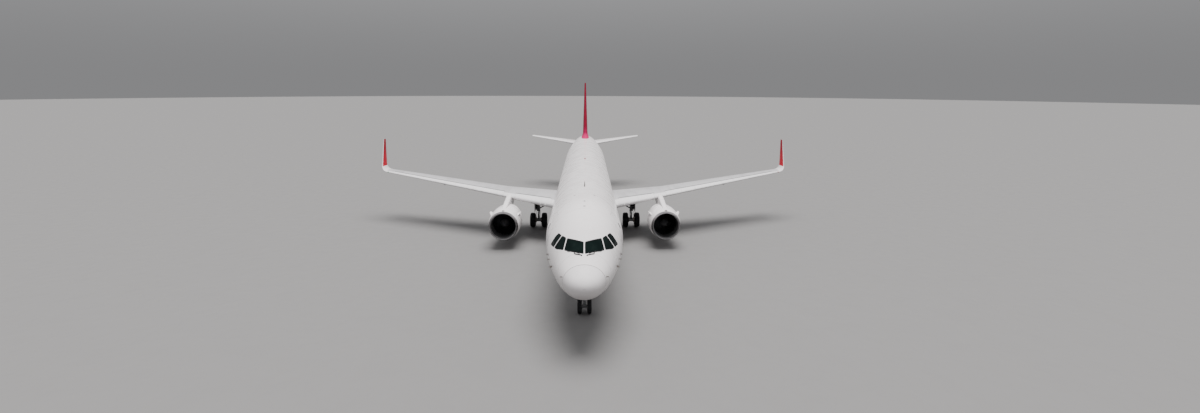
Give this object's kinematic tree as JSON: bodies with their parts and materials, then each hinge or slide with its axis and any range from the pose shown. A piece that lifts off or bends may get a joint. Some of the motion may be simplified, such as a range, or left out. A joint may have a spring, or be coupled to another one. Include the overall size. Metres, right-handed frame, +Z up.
{
  "type": "1:2 scale model of a stretched narrow-body twin-jet airliner",
  "caption": "Low-wing twin-jet airliner model parked on its landing gear, with turning fans and wheels, hinged control surfaces and opening cargo doors.",
  "frame": {"origin": "on the ground under the middle of the aircraft's length, on its centreline", "axes": "+X to the aircraft's left wing tip, +Y aft along the fuselage, +Z up"},
  "size_m": [17.8992, 22.255, 5.88],
  "materials": {
    "white_paint": "glossy white paint, slightly warm",
    "wing_grey": "satin light grey paint",
    "slat_grey": "satin pale grey paint",
    "fin_crimson": "glossy crimson paint",
    "winglet_red": "glossy red paint",
    "cockpit_glass": "dark coated glass",
    "bare_metal": "polished, slightly dulled",
    "hot_metal": "heat-darkened",
    "fan_metal": "dark satin",
    "gear_steel": "grey enamel",
    "wheel_metal": "satin",
    "tyre_rubber": "matt black"
  },
  "bodies": {
    "airframe": {"fuselage": "white_paint", "radome": "white_paint", "cockpit_glazing": "cockpit_glass", "tail_cone": "hot_metal", "belly_fairing": "white_paint", "door_forward_left": "white_paint", "door_forward_right": "white_paint", "door_aft_left": "white_paint", "door_aft_right": "white_paint", "wing_left": "wing_grey", "wing_right": "wing_grey", "slat_inboard_left": "slat_grey", "slat_inboard_right": "slat_grey", "slat_outboard_left": "slat_grey", "slat_outboard_right": "slat_grey", "flap_inboard_left": "wing_grey", "flap_inboard_right": "wing_grey", "flap_outboard_left": "wing_grey", "flap_outboard_right": "wing_grey", "winglet_left": "winglet_red", "winglet_right": "winglet_red", "fin": "fin_crimson", "stabilizer_left": "white_paint", "stabilizer_right": "white_paint", "inlet_lip_left": "bare_metal", "inlet_lip_right": "bare_metal", "fan_cowl_left": "white_paint", "fan_cowl_right": "white_paint", "reverser_sleeve_left": "white_paint", "reverser_sleeve_right": "white_paint", "pylon_left": "white_paint", "pylon_right": "white_paint", "engine_core_left": "hot_metal", "engine_core_right": "hot_metal", "nose_leg": "gear_steel", "nose_gear_door_left": "white_paint", "nose_gear_door_right": "white_paint", "main_leg_left": "gear_steel", "main_leg_right": "gear_steel", "main_leg_door_left": "white_paint", "main_leg_door_right": "white_paint"},
    "nose_steering": {"nose_fork": "gear_steel"},
    "nose_wheel_pair": {"nose_wheels": "wheel_metal", "nose_tyre_left": "tyre_rubber", "nose_tyre_right": "tyre_rubber"},
    "main_wheel_pair_left": {"main_wheels_left": "wheel_metal", "main_tyre_left_inner": "tyre_rubber", "main_tyre_left_outer": "tyre_rubber"},
    "main_wheel_pair_right": {"main_wheels_right": "wheel_metal", "main_tyre_right_inner": "tyre_rubber", "main_tyre_right_outer": "tyre_rubber"},
    "fan_rotor_left": {"fan_left": "fan_metal"},
    "fan_rotor_right": {"fan_right": "fan_metal"},
    "rudder_panel": {"rudder": "fin_crimson"},
    "elevator_panel_left": {"elevator_left": "white_paint"},
    "elevator_panel_right": {"elevator_right": "white_paint"},
    "aileron_panel_left": {"aileron_left": "wing_grey"},
    "aileron_panel_right": {"aileron_right": "wing_grey"},
    "forward_cargo_door_panel": {"cargo_door_forward": "white_paint"},
    "aft_cargo_door_panel": {"cargo_door_aft": "white_paint"}
  },
  "joints": [
    {"name": "nose_steer", "type": "hinge", "parent": "airframe", "child": "nose_steering", "pos_m": [0, -8.5925, 0.56], "axis": [0, 0, 1], "range_deg": [-75, 75]},
    {"name": "nose_wheel_spin", "type": "hinge", "parent": "nose_steering", "child": "nose_wheel_pair", "pos_m": [0, -8.5925, 0.1925], "axis": [1, 0, 0], "continuous": true},
    {"name": "main_wheel_spin_left", "type": "hinge", "parent": "airframe", "child": "main_wheel_pair_left", "pos_m": [1.8975, -0.1425, 0.2925], "axis": [1, 0, 0], "continuous": true},
    {"name": "main_wheel_spin_right", "type": "hinge", "parent": "airframe", "child": "main_wheel_pair_right", "pos_m": [-1.8975, -0.1425, 0.2925], "axis": [1, 0, 0], "continuous": true},
    {"name": "fan_spin_left", "type": "hinge", "parent": "airframe", "child": "fan_rotor_left", "pos_m": [2.875, -2.75, 0.85], "axis": [0, 1, 0], "continuous": true},
    {"name": "fan_spin_right", "type": "hinge", "parent": "airframe", "child": "fan_rotor_right", "pos_m": [-2.875, -2.75, 0.85], "axis": [0, 1, 0], "continuous": true},
    {"name": "rudder_swing", "type": "hinge", "parent": "airframe", "child": "rudder_panel", "pos_m": [0, 9.61482, 3.16], "axis": [0, -0.3383, -0.9411], "range_deg": [-30, 30]},
    {"name": "elevator_swing_left", "type": "hinge", "parent": "airframe", "child": "elevator_panel_left", "pos_m": [0.7, 9.69253, 2.52132], "axis": [0.9507, 0.2937, 0.1], "range_deg": [-17, 30]},
    {"name": "elevator_swing_right", "type": "hinge", "parent": "airframe", "child": "elevator_panel_right", "pos_m": [-0.7, 9.69253, 2.52132], "axis": [0.9507, -0.2937, -0.1], "range_deg": [-17, 30]},
    {"name": "aileron_swing_left", "type": "hinge", "parent": "airframe", "child": "aileron_panel_left", "pos_m": [6.575, 1.18969, 1.88633], "axis": [0.9403, 0.3303, 0.0822], "range_deg": [-25, 25]},
    {"name": "aileron_swing_right", "type": "hinge", "parent": "airframe", "child": "aileron_panel_right", "pos_m": [-6.575, 1.18969, 1.88633], "axis": [-0.9403, 0.3303, 0.0822], "range_deg": [-25, 25]},
    {"name": "forward_cargo_door_swing", "type": "hinge", "parent": "airframe", "child": "forward_cargo_door_panel", "pos_m": [-0.95058, -6.5275, 1.65], "axis": [0, 1, 0], "range_deg": [0, 135]},
    {"name": "aft_cargo_door_swing", "type": "hinge", "parent": "airframe", "child": "aft_cargo_door_panel", "pos_m": [-0.95058, 3.7225, 1.65], "axis": [0, 1, 0], "range_deg": [0, 135]}
  ]
}
